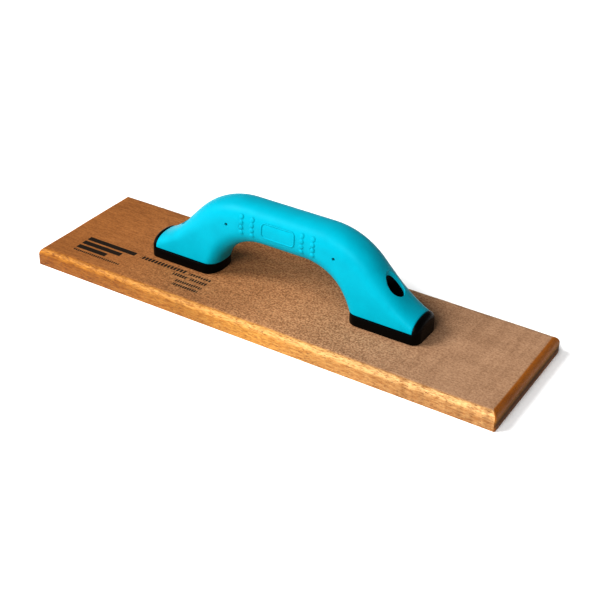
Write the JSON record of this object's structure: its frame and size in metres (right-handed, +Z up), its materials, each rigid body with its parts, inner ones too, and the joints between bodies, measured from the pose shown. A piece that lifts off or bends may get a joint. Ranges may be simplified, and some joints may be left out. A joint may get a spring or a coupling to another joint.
{
  "type": "hand float",
  "caption": "Long rectangular timber float with rounded top edges and a centred bridge handle: a soft grip over a hard plastic core, held by two wood screws.",
  "frame": {"origin": "middle of the blade's underside, the working face", "axes": "+X along the blade and the handle, +Y across the blade, +Z up from the working face to the handle"},
  "size_m": [0.38, 0.11, 0.0793],
  "materials": {
    "timber": "thin varnish, satin",
    "black_plastic": "moulded, semi-gloss",
    "soft_grip": "moulded, satin",
    "zinc_steel": "zinc plated"
  },
  "bodies": {
    "root": {"timber_blade": "timber", "handle_core": "black_plastic", "soft_grip": "soft_grip", "handle_screw_left": "zinc_steel", "handle_screw_right": "zinc_steel", "washer_left": "zinc_steel", "washer_right": "zinc_steel"}
  },
  "joints": []
}
